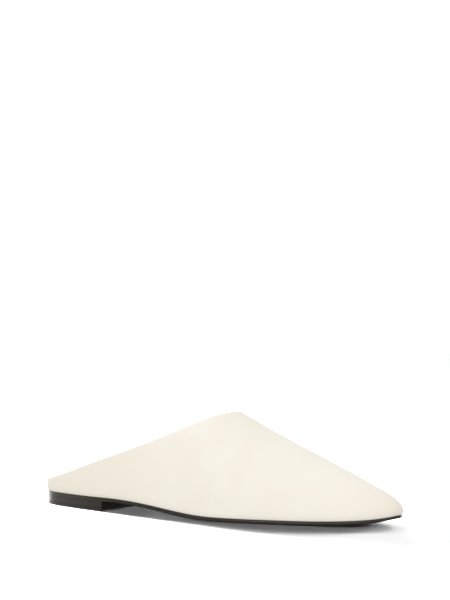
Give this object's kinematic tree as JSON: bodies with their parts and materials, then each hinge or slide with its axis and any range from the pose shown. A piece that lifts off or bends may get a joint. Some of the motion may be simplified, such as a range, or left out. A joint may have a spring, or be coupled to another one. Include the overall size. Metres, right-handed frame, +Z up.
{
  "type": "house slipper",
  "caption": "Flat slip-on house slipper, right shoe, with a long pointed leather upper, a low heel rim, a thin dark sole and a low heel.",
  "frame": {"origin": "middle of the shoe's box in plan, on the floor that it stands on", "axes": "+X runs from heel to toe along the length, +Y points to the medial (inner) side, +Z is up"},
  "size_m": [0.266, 0.0804, 0.0646],
  "materials": {
    "upper": "smooth cream nappa leather with a soft satin sheen",
    "outsole": "dark brown-black leather sole with a painted, polished edge",
    "heel": "dark brown-black heel block with a painted, polished side",
    "top_lift": "black rubber wearing piece",
    "insole": "beige leather sock, matt"
  },
  "bodies": {
    "root": {"upper": "upper", "outsole": "outsole", "heel": "heel", "top_lift": "top_lift", "insole": "insole"}
  },
  "joints": []
}
